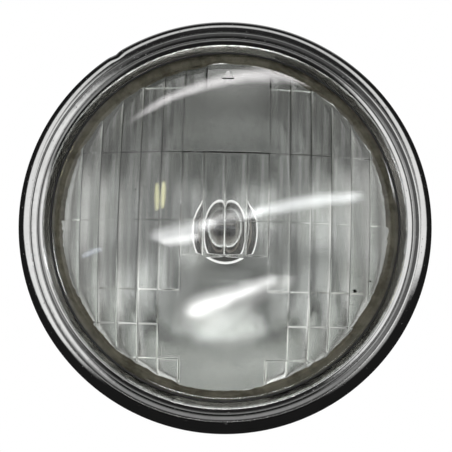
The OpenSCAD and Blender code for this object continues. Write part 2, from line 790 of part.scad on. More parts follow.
rim();
rim_hook();
rim_ear(1);  // rim_ear_right
rim_ear(-1);  // rim_ear_left
ear_nut(1);  // ear_nut_right
ear_nut(-1);  // ear_nut_left
rim_screw(1);  // rim_screw_right
rim_screw(-1);  // rim_screw_left
screw_washer(1);  // screw_washer_right
screw_washer(-1);  // screw_washer_left
lens();
lens_gasket();
lens_seal();
reflector();
bulb_collar();
for (i = [1 : clips])
    retaining_clip(i);
bulb_glass();
bulb_base();
bulb_insulator();
bulb_contact(1);  // bulb_contact_right
bulb_contact(-1);  // bulb_contact_left
bulb_stem();
filament(0);  // filament_main
filament(filament_gap);  // filament_dip
for (i = [1 : 4])
    filament_wire(i);
socket_shell();
socket_insulator();
socket_spring();
contact_pin(1);  // contact_pin_right
contact_pin(-1);  // contact_pin_left
terminal(1);  // terminal_right
terminal(-1);  // terminal_left
terminal_earth();
dust_boot();
bucket();
side_nut(1);  // side_nut_right
side_nut(-1);  // side_nut_left
wire_grommet();
drain_grommet();
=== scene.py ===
import json
import math
import bmesh
import bpy
from mathutils import Matrix, Vector, geometry, noise


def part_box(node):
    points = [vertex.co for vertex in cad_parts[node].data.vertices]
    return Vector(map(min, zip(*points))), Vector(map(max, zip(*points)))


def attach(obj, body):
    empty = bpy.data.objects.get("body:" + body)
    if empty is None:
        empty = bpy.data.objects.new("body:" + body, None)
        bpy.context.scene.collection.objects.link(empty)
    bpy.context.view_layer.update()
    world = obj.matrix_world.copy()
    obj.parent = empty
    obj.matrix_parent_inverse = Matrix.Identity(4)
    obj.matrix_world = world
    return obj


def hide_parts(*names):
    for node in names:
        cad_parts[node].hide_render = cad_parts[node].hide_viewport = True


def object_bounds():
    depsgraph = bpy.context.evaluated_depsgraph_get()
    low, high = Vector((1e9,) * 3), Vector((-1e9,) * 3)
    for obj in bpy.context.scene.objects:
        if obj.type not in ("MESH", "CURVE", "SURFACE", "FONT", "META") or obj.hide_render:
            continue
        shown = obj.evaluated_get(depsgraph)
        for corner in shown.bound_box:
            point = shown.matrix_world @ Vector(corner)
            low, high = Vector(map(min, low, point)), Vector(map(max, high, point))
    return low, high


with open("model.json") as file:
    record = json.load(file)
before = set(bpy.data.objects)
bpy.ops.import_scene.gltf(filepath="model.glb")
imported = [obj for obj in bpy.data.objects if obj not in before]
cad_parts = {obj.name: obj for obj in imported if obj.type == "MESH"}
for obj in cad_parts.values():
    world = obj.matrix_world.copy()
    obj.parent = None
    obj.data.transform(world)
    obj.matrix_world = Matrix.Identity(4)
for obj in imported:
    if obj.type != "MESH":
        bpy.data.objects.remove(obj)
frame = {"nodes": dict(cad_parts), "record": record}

# The lamp looks along -Y, +Z is up and +X is to the right as seen from the front.
# Profiles are drawn as (radius, level) in millimetres, where level runs forward along -Y.

MM = 0.001
CAD_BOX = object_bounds()

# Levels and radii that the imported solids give, in millimetres
GLASS_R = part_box("lens")[1][0] / MM
FRONT_H = -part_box("lens")[0][1] / MM
FLANGE_BACK_H = -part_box("lens")[1][1] / MM
RIM_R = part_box("rim")[1][0] / MM
RIM_BACK_H = -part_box("rim")[1][1] / MM
MOUTH_H = -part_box("reflector")[0][1] / MM
SEAT_H = -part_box("reflector")[1][1] / MM
BULB_TIP_H = -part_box("bulb_glass")[0][1] / MM

# Glass lens: its flange, its dome, and the flutes and rows of the pattern inside
FLANGE_T = 4.0
FLANGE_H = FLANGE_BACK_H + FLANGE_T
DOME_R = 79.0
DOME_T = 4.0
PATTERN_R = 74.6
FLUTE_PITCH = 9.65
FLUTE_R = 24.0
FLUTE_CUT = 0.2
ROW_CUT = 0.3
ROW_FILLET = 0.35
ROW_MID = 0.6
ROW_H = 30.6
# Thin raised line on the border between two flutes
RIDGE_H = 0.13
RIDGE_W = 0.34
# Raised triangle at the top
MARK_H = 5.0
MARK_T = 0.5
MARK_BEVEL = 0.15
# Dark specks on the glass: x, z and radius
SPECKS = ((59.0, -29.0, 1.1), (66.2, -24.3, 0.6), (-40.0, 14.0, 0.35), (24.0, 51.0, 0.3))
DOME_SAG = FRONT_H - FLANGE_H
DOME_SPHERE = (DOME_R ** 2 + DOME_SAG ** 2) / (2 * DOME_SAG)
DOME_C = FRONT_H - DOME_SPHERE
INNER_SPHERE = DOME_SPHERE - DOME_T

# Rows of the pattern: bottom, top, the flutes that a plain block runs from and to, deeper or not
BLOCK_END = 2 * ROW_H + ROW_MID
ROWS = [
    (BLOCK_END, PATTERN_R, -1, 2, 1),
    (ROW_MID + ROW_H, BLOCK_END, -2, 2, 0),
    (ROW_MID, ROW_MID + ROW_H, 0, 0, 1),
    (ROW_MID - ROW_H / 2, ROW_MID, 0, 0, 0),
    (ROW_MID - ROW_H, ROW_MID - ROW_H / 2, -2, 2, 0),
    (ROW_MID - 1.5 * ROW_H, ROW_MID - ROW_H, -3, 3, 1),
    (ROW_MID - 2 * ROW_H, ROW_MID - 1.5 * ROW_H, -3, 3, 0),
    (-PATTERN_R, ROW_MID - 2 * ROW_H, -2, 2, 1),
]
SIDE_FLUTES = math.ceil(PATTERN_R / FLUTE_PITCH)

# Rim
RIM_WALL = 0.8
LIP_OVERLAP = 3.3
RUBBER_T = 1.0
LIP_R = GLASS_R - LIP_OVERLAP
LIP_H = FLANGE_H + RUBBER_T
# The roll stands over the lip, by this width and height, with a slope down to the lip
LIP_W = 5.0
LIP_DROP = 5.0
ROLL_R = 3.1
ROLL_C = LIP_R + LIP_W
ROLL_H = LIP_H + LIP_DROP - ROLL_R
ROLL_SLOPE = math.atan2(LIP_DROP - ROLL_R, LIP_W) + math.asin(ROLL_R / math.hypot(LIP_W, LIP_DROP - ROLL_R))
# The flat ring lies a little lower than the roll's crest, and ends at the groove beside the bead
FLAT_SINK = 0.35
FLAT_H = LIP_H + LIP_DROP - FLAT_SINK
GROOVE_R = ROLL_C + 3.4
BEAD_R = 8.0
BEAD_C = RIM_R - BEAD_R
BEAD_H = RIM_BACK_H + BEAD_R
HEM_W = 3.6
HEM_R = RIM_R - HEM_W
HEM_BEND = 0.8
# Dent in the bead: its clock angle and half width in radians, and how far in and back it goes
DENT_TURN = 2 * math.pi - math.radians(33.9)
DENT_HALF = 0.02
DENT_IN = 0.5
DENT_BACK = 0.4

# Reflector
MOUTH_R = 75.0
BOWL_DEPTH = 43.95
FOCAL = MOUTH_R ** 2 / (4 * BOWL_DEPTH)
REFL_WALL = 0.8
NECK_R = 15.0
NECK_ROUND = 1.0
BULB_HOLE_R = 10.3
VERTEX_H = MOUTH_H - BOWL_DEPTH
BOWL_ROUGH = 0.11

# Seal and gasket: clearance to their neighbours, and how far the seal's edge wanders
FIT = 0.03
SEAL_R = 75.0
SEAL_RAG = 0.5

# Bulb
BULB_R = 9.5
BULB_WALL = 0.7

# Camera, measured from the middle of the rim's widest circle
CAM_DISTANCE = 0.470
CAM_BELOW = math.radians(4.2)
CAM_RIGHT = math.radians(0.4)
CAM_ROLL = math.radians(1.25)
PHOTO_PX = 452
PX_PER_MM = 2.1705
RIM_PX = (224.9, 225.3)

# Floor, in metres
FLOOR_DROP = 0.11
FLOOR_R = 0.75

# Lamps of the room that mirror in the dome: a name, colour, strength and, in pixels of the
# photograph, points along the streak with its half width there
STREAKS = (
    ("top_tube", (1.0, 0.97, 0.98), 11.0, (
        (121, 128, 4), (165, 100, 6), (205, 85, 8), (245, 76, 10), (270, 74, 12), (290, 78, 9),
        (306, 83, 5), (322, 86, 3))),
    ("middle_left", (0.98, 0.99, 1.0), 10.0, (
        (146, 236, 7), (165, 234, 11), (185, 231, 12), (206, 226, 9), (222, 221, 5))),
    ("middle_haze", (0.98, 0.99, 1.0), 6.0, (
        (196, 226, 8), (220, 219, 9), (245, 214, 9), (268, 210, 8))),
    ("middle_right", (0.96, 0.98, 1.0), 11.5, (
        (236, 219, 3), (262, 211, 8), (290, 205, 10), (320, 200, 10), (345, 198, 9), (368, 196, 7))),
    ("middle_core", (1.0, 1.0, 1.0), 13.0, (
        (158, 240, 5), (172, 241, 8), (188, 239, 8), (202, 237, 4))),
    ("lower_tube", (1.0, 1.0, 1.0), 11.0, (
        (178, 311, 12), (200, 306, 17), (220, 299, 15), (240, 292, 12), (258, 286, 11), (270, 281, 9),
        (282, 277, 5))),
    ("lower_core", (1.0, 1.0, 1.0), 9.0, (
        (182, 313, 8), (200, 309, 12), (222, 302, 9), (240, 295, 5), (262, 286, 3))),
    ("lower_haze", (1.0, 0.99, 0.97), 4.5, (
        (172, 316, 18), (205, 312, 24), (245, 298, 20), (280, 284, 12), (300, 278, 6))),
    ("yellow_lamp_left", (1.0, 0.98, 0.45), 9.0, ((157, 182, 3), (157, 196, 4), (157, 212, 3))),
    ("yellow_lamp_right", (1.0, 0.98, 0.50), 11.0, ((164, 180, 3), (163, 194, 4), (162, 210, 3))),
    ("blue_window", (0.75, 0.82, 1.0), 5.0, ((80, 257, 3), (92, 252, 5), (104, 249, 3))),
)
# How far in front of the dome the streaks hang, in metres
STREAK_REACH = 1.5

# Soft panels that light the inside: degrees from straight ahead, clock degrees, width, strength
PANELS = (
    (8, 0, 14, 1.9),
    (28, 60, 18, 1.3), (28, 120, 18, 0.5), (28, 180, 18, 0.12), (28, 240, 18, 1.0), (28, 300, 18, 0.4),
    (52, 0, 20, 1.0), (52, 45, 20, 0.7), (52, 270, 20, 0.5), (52, 315, 20, 0.6),
    (78, 0, 22, 2.2), (78, 45, 22, 0.8), (78, 90, 22, 0.5), (78, 270, 22, 0.8), (78, 315, 22, 1.0),
)
# How often upright dark bars cross that light
BAR_SPACING = 20.0
# Light where there is no panel, for the inside and for the chrome
PANEL_BASE = 0.05
CHROME_BASE = 0.012

# Lamps on the stage: a name, place, size and power
LAMPS = (
    ("key_panel", (-0.9, -0.9, 0.9), 0.8, 9.0),
    ("fill_panel", (1.0, -0.7, 0.5), 0.8, 5.0),
    ("back_panel", (0.3, 1.1, 0.9), 0.9, 6.0),
)
BOWL_LAMP = ("bowl_panel", (0.0, -0.9, 0.15), 0.5, 9.0)


def link(obj):
    """Puts a new object into the scene."""
    bpy.context.scene.collection.objects.link(obj)
    return obj


def mesh_object(name, verts, faces, smooth=True):
    """An open mesh of the stage, from points in metres."""
    mesh = bpy.data.meshes.new(name)
    mesh.from_pydata(verts, [], faces)
    mesh.validate()
    for poly in mesh.polygons:
        poly.use_smooth = smooth
    return link(bpy.data.objects.new(name, mesh))


def place(radius, level, turn):
    """A point at a radius and level in millimetres, at a clock angle from the top."""
    return (radius * math.sin(turn) * MM, -level * MM, radius * math.cos(turn) * MM)


def arc(centre_r, centre_h, radius, start, end, steps):
    """Points of (radius, level) along an arc between two angles in degrees."""
    points = []
    for i in range(steps + 1):
        a = math.radians(start + (end - start) * i / steps)
        points.append((centre_r + radius * math.cos(a), centre_h + radius * math.sin(a)))
    return points


def join_rings(bm, near, far):
    """A band of faces between two rings of as many points."""
    count = len(near)
    for j in range(count):
        k = (j + 1) % count
        bm.faces.new((near[j], near[k], far[k], far[j]))


def lathe(name, profile, segments=256, shift=None, sharp=32):
    """Turns a closed profile about the lamp's axis. shift moves a point by (radius, level, turn)."""
    bm = bmesh.new()
    rings = []
    for radius, level in profile:
        ring = []
        for j in range(segments):
            turn = 2 * math.pi * j / segments
            r, h = (radius, level) if shift is None else shift(radius, level, turn)
            ring.append(bm.verts.new(place(r, h, turn)))
        rings.append(ring)
    for near, far in zip(rings, rings[1:] + rings[:1]):
        join_rings(bm, near, far)
    bmesh.ops.remove_doubles(bm, verts=bm.verts, dist=1e-6)
    bmesh.ops.recalc_face_normals(bm, faces=bm.faces)
    finish_bmesh(bm, sharp)
    return to_object(name, bm)


def finish_bmesh(bm, sharp):
    """Smooth shading with hard edges where faces meet at more than the given angle."""
    limit = math.radians(sharp)
    for face in bm.faces:
        face.smooth = True
    for edge in bm.edges:
        if len(edge.link_faces) == 2 and edge.calc_face_angle(0.0) > limit:
            edge.smooth = False


def to_object(name, bm):
    """A scene object from a finished bmesh."""
    mesh = bpy.data.meshes.new(name)
    bm.to_mesh(mesh)
    bm.free()
    return link(bpy.data.objects.new(name, mesh))


def smoothstep(low, high, value):
    """0 below low, 1 above high, and a smooth rise between."""
    t = min(1.0, max(0.0, (value - low) / (high - low)))
    return t * t * (3 - 2 * t)


# Materials

class Graph:
    """A node tree, with short calls for the nodes that the finishes and the studio need."""

    def __init__(self, tree):
        self.tree = tree

    def add(self, kind):
        return self.tree.nodes.new("ShaderNode" + kind)

    def wire(self, source, target):
        if isinstance(source, (int, float)):
            target.default_value = source
        else:
            self.tree.links.new(source, target)

    def math(self, operation, a, b=0.0):
        node = self.add("Math")
        node.operation = operation
        self.wire(a, node.inputs[0])
        self.wire(b, node.inputs[1])
        return node.outputs[0]

    def times(self, first, *others):
        for other in others:
            first = self.math("MULTIPLY", first, other)
        return first

    def plus(self, first, *others):
        for other in others:
            first = self.math("ADD", first, other)
        return first

    def split(self, vector):
        node = self.add("SeparateXYZ")
        self.tree.links.new(vector, node.inputs[0])
        return node.outputs

    def band(self, value, low, high, to_low=0.0, to_high=1.0):
        """Maps low..high to to_low..to_high, smoothly and clamped; low may be above high."""
        node = self.add("MapRange")
        node.interpolation_type = "SMOOTHSTEP"
        flip = low > high
        self.wire(value, node.inputs["Value"])
        node.inputs["From Min"].default_value = high if flip else low
        node.inputs["From Max"].default_value = low if flip else high
        node.inputs["To Min"].default_value = to_high if flip else to_low
        node.inputs["To Max"].default_value = to_low if flip else to_high
        return node.outputs["Result"]

    def mix(self, factor, a, b):
        node = self.add("Mix")
        node.data_type = "RGBA"
        self.wire(factor, node.inputs["Factor"])
        for value, socket in ((a, node.inputs[6]), (b, node.inputs[7])):
            if isinstance(value, tuple):
                socket.default_value = (*value, 1.0)
            else:
                self.tree.links.new(value, socket)
        return node.outputs[2]


class Paint(Graph):
    """A material of one Principled shader."""

    def __init__(self, name):
        self.material = bpy.data.materials.new(name)
        self.material.use_nodes = True
        super().__init__(self.material.node_tree)
        self.bsdf = self.tree.nodes["Principled BSDF"]
        self.coords = self.add("TexCoord").outputs["Object"]

    def set(self, **values):
        for key, value in values.items():
            self.bsdf.inputs[key.replace("_", " ")].default_value = value

    def into(self, source, socket):
        self.tree.links.new(source, self.bsdf.inputs[socket])

    def scaled(self, factors):
        node = self.add("Mapping")
        self.tree.links.new(self.coords, node.inputs["Vector"])
        node.inputs["Scale"].default_value = factors
        return node.outputs["Vector"]

    def noise(self, scale, detail=3.0, rough=0.5, vector=None):
        node = self.add("TexNoise")
        self.tree.links.new(vector or self.coords, node.inputs["Vector"])
        node.inputs["Scale"].default_value = scale
        node.inputs["Detail"].default_value = detail
        node.inputs["Roughness"].default_value = rough
        return node.outputs["Fac"]

    def spots(self, scale, size):
        """1 inside scattered round spots, 0 outside; size is a share of their spacing."""
        node = self.add("TexVoronoi")
        self.tree.links.new(self.coords, node.inputs["Vector"])
        node.inputs["Scale"].default_value = scale
        return self.band(node.outputs["Distance"], size, size * 0.6)

    def axis_radius(self):
        """Distance from the lamp's axis in millimetres."""
        x, _, z = self.split(self.coords)
        return self.times(self.math("SQRT", self.plus(self.times(x, x), self.times(z, z))), 1 / MM)

    def bump(self, height, distance):
        """Relief of a height from 0 to 1, as deep as the distance in metres."""
        node = self.add("Bump")
        node.inputs["Strength"].default_value = 1.0
        node.inputs["Distance"].default_value = distance
        self.tree.links.new(height, node.inputs["Height"])
        self.into(node.outputs["Normal"], "Normal")


def rim_chrome():
    """Old chrome plate: bright, with fine pits, haze and hair scratches."""
    p = Paint("rim_chrome")
    p.set(Metallic=1.0)
    pits = p.spots(420, 0.12)
    haze = p.noise(60, 5, 0.6)
    tone = p.mix(p.band(haze, 0.35, 0.75), (0.80, 0.80, 0.79), (0.70, 0.70, 0.69))
    # The slope beside the glass is darkened almost to black, with a ragged border: painted shade where the
    # rim meets the glass
    lip_shade = p.band(p.plus(p.axis_radius(), p.times(p.noise(300, 4, 0.6), 0.9)), LIP_R + 3.1, LIP_R + 2.3)
    tone = p.mix(p.times(lip_shade, 0.9), tone, (0.05, 0.045, 0.035))
    rust = p.times(pits, p.band(p.noise(25), 0.45, 0.6))
    p.into(p.mix(rust, tone, (0.16, 0.14, 0.12)), "Base Color")
    scratch = p.noise(1.0, 2, 0.5, p.scaled((2600, 300, 500)))
    p.into(p.band(p.plus(haze, p.times(scratch, 0.5)), 0.45, 1.2, 0.045, 0.16), "Roughness")
    grain = p.plus(p.noise(900, 2, 0.5), p.times(p.noise(110, 2, 0.5), 4.0))
    p.bump(p.plus(grain, p.times(pits, -3.0)), 0.000012)
    return p.material


def lens_glass():
    """Clear glass with a few dark specks of grime."""
    p = Paint("lens_glass")
    x, _, z = p.split(p.coords)
    speck = 0.0
    for at_x, at_z, size in SPECKS:
        gap = p.math("POWER", p.plus(p.times(x, 1 / MM), -at_x), 2.0)
        gap = p.math("SQRT", p.plus(gap, p.math("POWER", p.plus(p.times(z, 1 / MM), -at_z), 2.0)))
        gap = p.plus(gap, p.times(p.noise(700, 3, 0.6), size * 0.6))
        speck = p.math("MAXIMUM", p.band(gap, size * 1.2, size * 0.8), speck)
    p.into(p.mix(speck, (0.975, 0.98, 0.97), (0.02, 0.02, 0.015)), "Base Color")
    p.set(Roughness=0.0, IOR=1.52)
    p.bsdf.inputs["Transmission Weight"].default_value = 1.0
    p.bump(p.noise(45, 2, 0.5), 0.00004)
    return p.material


def bowl_silver():
    """Silvering that has gone dull, with a painted highlight in plain white on the rounded edge of the neck
    and painted shade, near black, on the seat around the bulb.
    """
    p = Paint("bowl_silver")
    # The rounded edge of the neck turns from metal to diffuse white: a painted highlight standing for the
    # lamps mirrored in this thin edge
    edge = p.times(p.band(p.axis_radius(), NECK_R + NECK_ROUND + 0.35, NECK_R + NECK_ROUND + 0.05),
                   p.band(p.axis_radius(), NECK_R - 0.15, NECK_R + 0.05))
    p.into(p.math("SUBTRACT", 1.0, p.times(edge, 0.9)), "Metallic")
    blotch = p.noise(38, 4, 0.6)
    clean = p.mix(p.band(blotch, 0.4, 0.7), (0.84, 0.85, 0.83), (0.74, 0.75, 0.72))
    # The seat and the foot of the neck are painted near black: painted shade of the recess around the bulb
    neck_shade = p.band(p.axis_radius(), NECK_R + 0.1, NECK_R - 0.2)
    p.into(p.mix(edge, p.mix(neck_shade, clean, (0.05, 0.05, 0.047)), (0.97, 0.97, 0.96)), "Base Color")
    p.into(p.band(blotch, 0.3, 0.8, BOWL_ROUGH, BOWL_ROUGH + 0.07), "Roughness")
    p.bump(p.noise(70, 2, 0.5), 0.00004)
    return p.material


def compound():
    """Aged sealing compound between glass and bowl, olive brown and uneven."""
    p = Paint("sealing_compound")
    tone = p.noise(140, 4, 0.65)
    p.into(p.mix(p.band(tone, 0.35, 0.7), (0.30, 0.28, 0.21), (0.15, 0.135, 0.095)), "Base Color")
    p.set(Roughness=0.7)
    p.bump(p.noise(500, 3, 0.6), 0.0003)
    return p.material


def rubber():
    """Black rubber that has gone grey with dust."""
    p = Paint("black_rubber")
    dust = p.noise(160, 5, 0.65)
    p.into(p.mix(p.band(dust, 0.5, 0.8), (0.022, 0.022, 0.022), (0.0572, 0.055, 0.0506)), "Base Color")
    p.into(p.band(dust, 0.3, 0.8, 0.55, 0.8), "Roughness")
    p.bump(p.noise(1400, 3, 0.6), 0.00005)
    return p.material


def metal(name, tone, dark, rough=(0.22, 0.42)):
    """Plated or plain metal with brushed streaks, stains and small marks."""
    p = Paint(name)
    p.set(Metallic=1.0)
    cloud = p.noise(90, 5, 0.65)
    p.into(p.mix(p.band(cloud, 0.55, 0.8), tone, dark), "Base Color")
    streak = p.noise(1.0, 3, 0.6, p.scaled((400, 400, 4000)))
    p.into(p.band(p.plus(cloud, streak), 0.7, 1.3, *rough), "Roughness")
    p.bump(p.plus(streak, p.noise(700, 2, 0.5)), 0.00002)
    return p.material


def clear_glass():
    """The bulb's glass, a little darkened."""
    p = Paint("bulb_clear_glass")
    p.set(Base_Color=(0.80, 0.81, 0.81, 1.0), Roughness=0.0, IOR=1.47)
    p.bsdf.inputs["Transmission Weight"].default_value = 1.0
    p.bump(p.noise(80, 2, 0.5), 0.00003)
    return p.material


def resin():
    """Brown moulded resin with a mottle."""
    p = Paint("brown_resin")
    mottle = p.noise(260, 5, 0.7)
    p.into(p.mix(p.band(mottle, 0.4, 0.7), (0.085, 0.038, 0.018), (0.035, 0.016, 0.009)), "Base Color")
    p.into(p.band(mottle, 0.3, 0.8, 0.3, 0.5), "Roughness")
    p.bump(p.noise(900, 3, 0.5), 0.00003)
    return p.material


def enamel():
    """Gloss black enamel over steel, with orange peel, dust and small chips."""
    p = Paint("bucket_enamel")
    dust = p.noise(55, 6, 0.7)
    chips = p.times(p.spots(160, 0.10), p.band(p.noise(22, 3), 0.56, 0.62))
    coat = p.mix(p.band(dust, 0.45, 0.8), (0.012, 0.012, 0.013), (0.045, 0.043, 0.040))
    p.into(p.mix(chips, coat, (0.20, 0.17, 0.15)), "Base Color")
    p.into(p.band(dust, 0.35, 0.8, 0.13, 0.42), "Roughness")
    p.set(IOR=1.5)
    peel = p.plus(p.noise(420, 2, 0.5), p.times(p.noise(60, 2, 0.5), 2.0))
    p.bump(p.plus(peel, p.times(chips, -2.0)), 0.00005)
    return p.material


def paint(obj, material):
    """Gives an object one finish, in the slots it has or in a new one."""
    if not obj.material_slots:
        obj.data.materials.append(material)
        return
    for slot in obj.material_slots:
        slot.material = material


def adopt(piece, material, slot_name, *nodes):
    """A new piece takes a node's place on the lamp's one body."""
    paint(piece, material)
    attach(piece, "root")
    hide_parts(*nodes)


# Rim

def rim_wave(radius, level, turn):
    """Slight unevenness of a pressing, a few hundredths of a millimetre, and the bead's dent."""
    here = Vector((math.cos(turn) * 1.6, math.sin(turn) * 1.6, level * 0.05))
    lift = 0.05 * noise.noise(here) + 0.02 * noise.noise(here * 3.1)
    dent = math.exp(-((turn - DENT_TURN) / DENT_HALF) ** 2) * smoothstep(GROOVE_R + 1, RIM_R - 1, radius)
    return radius + lift - DENT_IN * dent, level + 0.6 * lift - DENT_BACK * dent


def make_rim(chrome):
    """The whole pressing: hem, bead, groove, flat ring, roll and the slope down to the lip."""
    outer = [(HEM_R, RIM_BACK_H)]
    outer += arc(RIM_R - HEM_BEND, RIM_BACK_H + HEM_BEND, HEM_BEND, -90, 0, 5)
    outer += arc(BEAD_C, BEAD_H, BEAD_R, 0, 77.2, 30)
    outer += [(GROOVE_R - 0.02, FLAT_H + 0.12), (GROOVE_R - 0.22, FLAT_H)]
    outer += [(GROOVE_R - 0.9, FLAT_H - 0.02), (ROLL_C + 1.7, FLAT_H - 0.02), (ROLL_C + 0.55, FLAT_H)]
    outer += [(ROLL_C + 0.32, FLAT_H + 0.08)]
    slope_end = 90 + math.degrees(ROLL_SLOPE)
    lip_wall = RIM_WALL / math.sin(ROLL_SLOPE)
    outer += arc(ROLL_C, ROLL_H, ROLL_R, 88, slope_end, 18)
    outer += [(LIP_R + 0.25, LIP_H + 0.37), (LIP_R + 0.09, LIP_H + 0.1), (LIP_R + 0.16, LIP_H + 0.02)]
    inner = [(LIP_R + lip_wall, LIP_H + 0.02)]
    inner += arc(ROLL_C, ROLL_H, ROLL_R - RIM_WALL, slope_end, 95, 12)
    inner += [(ROLL_C + 0.6, FLAT_H - RIM_WALL), (GROOVE_R - 0.6, FLAT_H - RIM_WALL)]
    inner += arc(BEAD_C, BEAD_H, BEAD_R - RIM_WALL, 75, 0, 16)
    inner += [(RIM_R - RIM_WALL, RIM_BACK_H + RIM_WALL + 0.3)]
    inner += [(RIM_R - RIM_WALL - 0.3, RIM_BACK_H + RIM_WALL), (HEM_R, RIM_BACK_H + RIM_WALL)]
    rim = lathe("headlight_rim", outer + inner, 320, shift=rim_wave, sharp=50)
    adopt(rim, chrome, "chrome", "rim")


# Lens

def flute_depth(x, row):
    """How far the flutes of a row cut into the inner sphere at x, in millimetres."""
    block_from, block_to, deeper = row[2:]
    ridge = INNER_SPHERE + FLUTE_CUT + deeper * ROW_CUT
    turn = FLUTE_PITCH / ridge
    angle = math.asin(x / ridge)
    k = math.floor(angle / turn)
    depth = ridge * math.cos(turn / 2) - math.sqrt(FLUTE_R ** 2 - (ridge * math.sin(turn / 2)) ** 2)
    off = angle - (k + 0.5) * turn
    hollow = depth * math.cos(off) + math.sqrt(FLUTE_R ** 2 - (depth * math.sin(off)) ** 2) - INNER_SPHERE
    from_ridge = (turn / 2 - abs(off)) * ridge
    hollow -= RIDGE_H * (1 - smoothstep(0.0, RIDGE_W, from_ridge))
    near_from = smoothstep(-ROW_FILLET, ROW_FILLET, (angle - block_from * turn) * ridge)
    near_to = smoothstep(-ROW_FILLET, ROW_FILLET, (block_to * turn - angle) * ridge)
    block = near_from * near_to if block_from < block_to else 0.0
    return hollow * (1 - block)


def pattern_depth(x, z):
    """Depth of the whole pattern, with the steps between rows rounded off."""
    total = 0.0
    for row in ROWS:
        low, high = row[:2]
        share_low = 1.0 if row is ROWS[-1] else smoothstep(-ROW_FILLET, ROW_FILLET, z - low)
        share_high = 1.0 if row is ROWS[0] else smoothstep(-ROW_FILLET, ROW_FILLET, high - z)
        if share_low * share_high > 0:
            total += share_low * share_high * flute_depth(x, row)
    return total * smoothstep(-0.8, 2.6, PATTERN_R - math.hypot(x, z))


def inner_point(x, z):
    """A point of the glass's inner side, in metres."""
    radius = INNER_SPHERE + pattern_depth(x, z)
    level = DOME_C + math.sqrt(radius ** 2 - x ** 2 - z ** 2)
    return (x * MM, -level * MM, z * MM)


def grid_lines():
    """Columns that follow the ridges between flutes, and rows that follow the steps."""
    columns = set()
    beside = (0.0, 0.09, 0.17, 0.25, 0.36, 0.9)
    across = 6
    for k in range(-SIDE_FLUTES, SIDE_FLUTES + 1):
        ridge_x = INNER_SPHERE * math.sin(k * FLUTE_PITCH / INNER_SPHERE)
        next_x = INNER_SPHERE * math.sin((k + 1) * FLUTE_PITCH / INNER_SPHERE)
        for gap in beside:
            columns.update((round(ridge_x - gap, 4), round(ridge_x + gap, 4)))
        for i in range(1, across):
            columns.add(round(ridge_x + (next_x - ridge_x) * i / across, 4))
    rows = set()
    for row in ROWS:
        low, high = row[:2]
        steps = max(3, round((high - low) / 2.4))
        for i in range(steps + 1):
            rows.add(round(low + (high - low) * i / steps, 4))
        for gap in (0.2, 0.4, 0.9):
            rows.update((round(low - gap, 4), round(low + gap, 4)))
    return sorted(columns), sorted(rows)


def add_mark(lens):
    """The plain triangle that shows which way up the glass goes, joined onto the dome."""
    mark_z = (ROWS[0][0] + PATTERN_R) / 2
    tilt = math.asin(mark_z / DOME_SPHERE)
    corner_r = MARK_H * 2 / 3
    root = -1.2
    bm = bmesh.new()
    rings = []
    for lift, size in ((root, 1.0), (MARK_T - MARK_BEVEL, 1.0), (MARK_T, 0.94)):
        ring = []
        out = DOME_SPHERE + lift
        for corner in range(3):
            turn = 2 * math.pi * corner / 3
            side = corner_r * size * math.sin(turn)
            up = corner_r * size * math.cos(turn)
            level = DOME_C + out * math.cos(tilt) - up * math.sin(tilt)
            height = out * math.sin(tilt) + up * math.cos(tilt)
            ring.append(bm.verts.new((side * MM, -level * MM, height * MM)))
        rings.append(ring)
    bm.faces.new(rings[0])
    bm.faces.new(rings[-1])
    for near, far in zip(rings, rings[1:]):
        join_rings(bm, near, far)
    bmesh.ops.recalc_face_normals(bm, faces=bm.faces)
    mark = to_object("mark_tool", bm)
    join = lens.modifiers.new("mark", "BOOLEAN")
    join.operation = "UNION"
    join.object = mark
    bpy.context.view_layer.update()
    solved = lens.evaluated_get(bpy.context.evaluated_depsgraph_get())
    joined = bpy.data.meshes.new_from_object(solved)
    lens.modifiers.clear()
    lens.data = joined
    bpy.data.objects.remove(mark)


